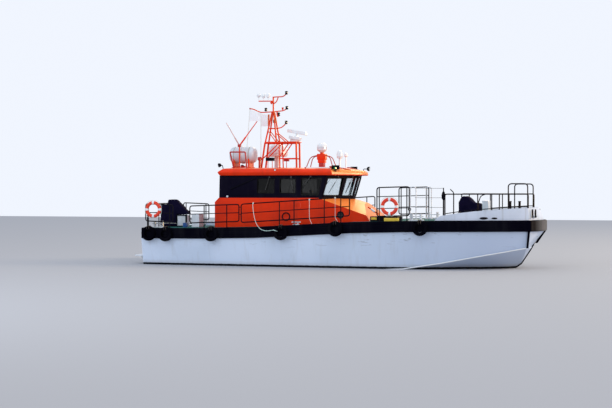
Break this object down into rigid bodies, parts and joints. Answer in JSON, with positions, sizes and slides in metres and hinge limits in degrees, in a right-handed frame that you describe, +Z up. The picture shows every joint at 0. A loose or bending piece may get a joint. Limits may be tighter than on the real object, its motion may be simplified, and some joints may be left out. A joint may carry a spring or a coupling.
{
  "type": "pilot boat",
  "caption": "Pilot boat with a white hard-chine hull, orange deckhouse with dark windows, roof mast and radar, black fender band hung with tyres, rails, propellers and rudders.",
  "frame": {"origin": "on the centreline at the waterline, where the hull is 2.2 m out to each side below the deckhouse", "axes": "+X towards the bow, +Y to port, +Z up"},
  "size_m": [17.95, 5.4872, 9.0048],
  "materials": {
    "hull_white": "semi-gloss white paint",
    "rubber": "matt black rubber",
    "deck_white": "semi-gloss white paint",
    "orange_paint": "gloss orange paint",
    "navy_paint": "gloss dark navy panels",
    "window_glass": "tinted glass",
    "black_paint": "satin black paint",
    "white_paint": "gloss white paint",
    "white_plastic": "gloss white moulded plastic",
    "red_paint": "gloss red paint",
    "buoy_red": "orange-red moulded foam with white bands",
    "bronze": "cast bronze, polished",
    "steel": "brushed steel",
    "vinyl": "dark seat covers",
    "canvas": "dark navy canvas cover",
    "flag_cloth": "light flag cloth",
    "rope": "pale turquoise laid rope"
  },
  "bodies": {
    "boat": {"hull": "hull_white", "side_fender_starboard": "rubber", "side_fender_port": "rubber", "bow_fender": "rubber", "stern_fender": "rubber", "foredeck_bulwark": "deck_white", "stern_platform": "white_paint", "shaft_bracket_starboard": "white_paint", "shaft_bracket_port": "white_paint", "deckhouse_lower": "orange_paint", "window_band": "navy_paint", "window_glass": "window_glass", "wheelhouse_roof": "orange_paint", "helm_console": "black_paint", "helm_seat_starboard": "vinyl", "helm_seat_port": "vinyl", "mast": "orange_paint", "radar_gearbox": "white_plastic", "liferaft": "white_plastic", "raft_cradle": "orange_paint", "roof_frame": "red_paint", "aerial_fork": "orange_paint", "searchlight_pedestal": "red_paint", "satellite_dome": "white_plastic", "aerial_dome": "white_plastic", "flag_aft": "flag_cloth", "flag_fore": "flag_cloth", "side_rail_starboard": "black_paint", "side_rail_port": "black_paint", "fore_rail_starboard": "black_paint", "fore_rail_port": "black_paint", "stern_rail_starboard": "black_paint", "stern_rail_port": "black_paint", "rail_transom": "black_paint", "bow_rail_starboard": "black_paint", "bow_rail_port": "black_paint", "lifebuoy_aft": "buoy_red", "lifebuoy_fore": "buoy_red", "stern_gear_cover": "canvas", "stern_locker": "white_paint", "stern_bitts_starboard": "steel", "stern_bitts_port": "steel", "side_bitts_starboard": "white_paint", "side_bitts_port": "white_paint", "bow_bitts": "black_paint", "winch_cover": "canvas", "foredeck_box": "white_paint", "deck_chest": "black_paint", "hanging_rope": "rope"},
    "screw_starboard": {"propeller_starboard": "bronze", "propeller_shaft_starboard": "steel"},
    "steering_starboard": {"rudder_starboard": "steel"},
    "screw_port": {"propeller_port": "bronze", "propeller_shaft_port": "steel"},
    "steering_port": {"rudder_port": "steel"},
    "scanner": {"radar_scanner": "white_plastic"},
    "lamp": {"searchlight": "white_paint"},
    "door": {"aft_door": "orange_paint"},
    "hatch_lid_aft": {"aft_hatch": "deck_white"},
    "hatch_lid_fore": {"fore_hatch": "deck_white"}
  },
  "joints": [
    {"name": "propeller_turn_starboard", "type": "hinge", "parent": "boat", "child": "screw_starboard", "pos_m": [-7.3, -0.95, -0.95], "axis": [0.989, 0, 0.1478], "continuous": true},
    {"name": "rudder_steer_starboard", "type": "hinge", "parent": "boat", "child": "steering_starboard", "pos_m": [-7.9, -0.95, -0.545], "axis": [0, 0, 1], "range_deg": [-35, 35]},
    {"name": "propeller_turn_port", "type": "hinge", "parent": "boat", "child": "screw_port", "pos_m": [-7.3, 0.95, -0.95], "axis": [0.989, 0, 0.1478], "continuous": true},
    {"name": "rudder_steer_port", "type": "hinge", "parent": "boat", "child": "steering_port", "pos_m": [-7.9, 0.95, -0.545], "axis": [0, 0, 1], "range_deg": [-35, 35]},
    {"name": "radar_turn", "type": "hinge", "parent": "boat", "child": "scanner", "pos_m": [-1.9, 0, 5.49], "axis": [0.1736, 0, 0.9848], "continuous": true},
    {"name": "searchlight_pan", "type": "hinge", "parent": "boat", "child": "lamp", "pos_m": [-0.68, 0, 4.97], "axis": [0, 0, 1], "range_deg": [-160, 160]},
    {"name": "aft_door_swing", "type": "hinge", "parent": "boat", "child": "door", "pos_m": [-4.897, -0.362, 1.9], "axis": [0, 0, 1], "range_deg": [0, 90]},
    {"name": "hatch_lift_aft", "type": "hinge", "parent": "boat", "child": "hatch_lid_aft", "pos_m": [-5.755, 1.15, 1.7757], "axis": [0, 1, 0], "range_deg": [0, 95]},
    {"name": "hatch_lift_fore", "type": "hinge", "parent": "boat", "child": "hatch_lid_fore", "pos_m": [7.535, 0, 2.1824], "axis": [0, 1, 0], "range_deg": [0, 95]}
  ]
}
